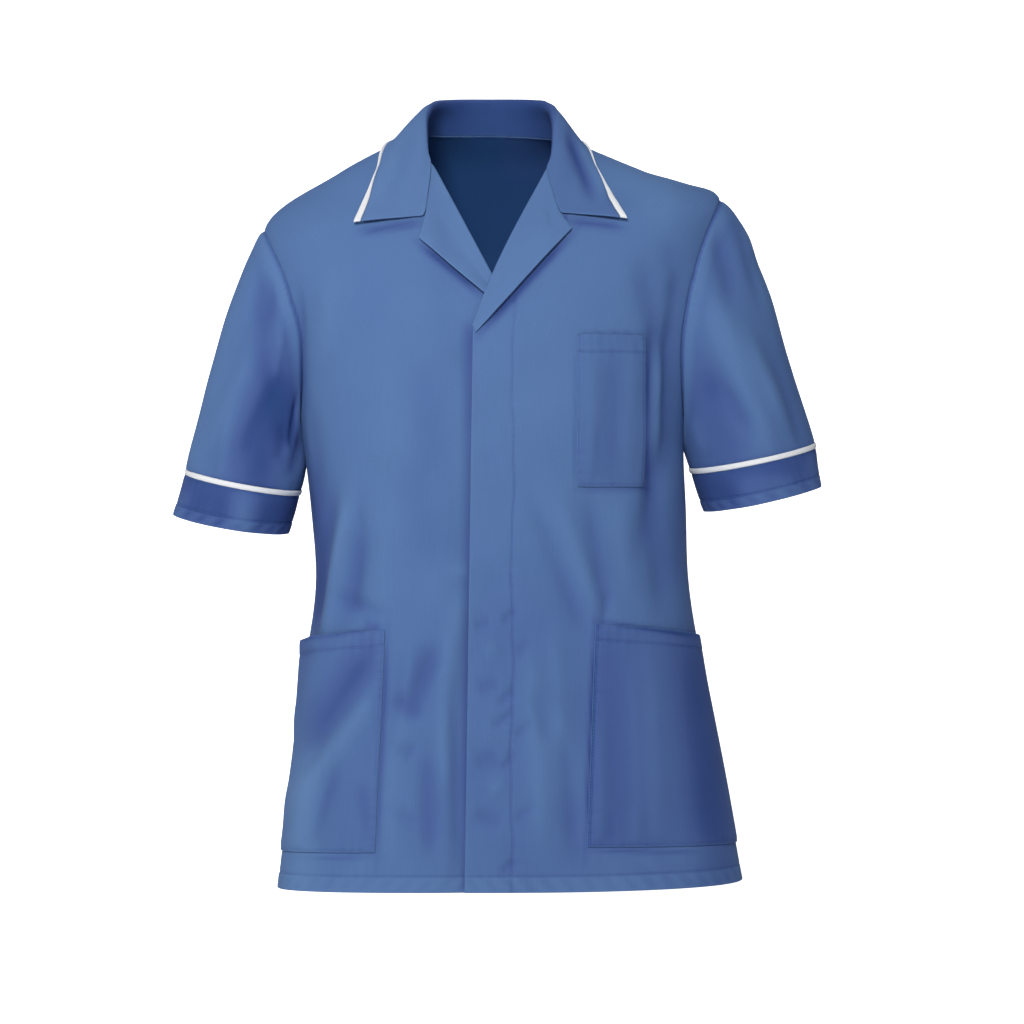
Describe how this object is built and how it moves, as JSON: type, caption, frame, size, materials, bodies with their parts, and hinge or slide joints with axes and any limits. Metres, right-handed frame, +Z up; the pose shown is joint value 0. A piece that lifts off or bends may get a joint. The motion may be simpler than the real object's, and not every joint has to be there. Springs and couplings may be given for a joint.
{
  "type": "work tunic",
  "caption": "Short-sleeved hip-length work tunic with an open revers collar, concealed front placket, breast and hip pockets, deep cuffs and contrast piping.",
  "frame": {"origin": "base of the neck between the shoulders that carry the tunic, on the plane of the side seams", "axes": "+Z up, the front towards -Y, the wearer's left towards +X"},
  "size_m": [0.6494, 0.252, 0.7935],
  "materials": {
    "blue_twill": "mid blue polyester and cotton twill, matte",
    "white_piping": "white bias cotton piping, matte"
  },
  "bodies": {
    "root": {"back": "blue_twill", "front_right": "blue_twill", "front_left": "blue_twill", "lapel_right": "blue_twill", "lapel_left": "blue_twill", "collar": "blue_twill", "sleeve_right": "blue_twill", "sleeve_left": "blue_twill", "cuff_right": "blue_twill", "cuff_left": "blue_twill", "chest_pocket": "blue_twill", "hip_pocket_right": "blue_twill", "hip_pocket_left": "blue_twill", "collar_piping": "white_piping", "cuff_piping_right": "white_piping", "cuff_piping_left": "white_piping"}
  },
  "joints": []
}
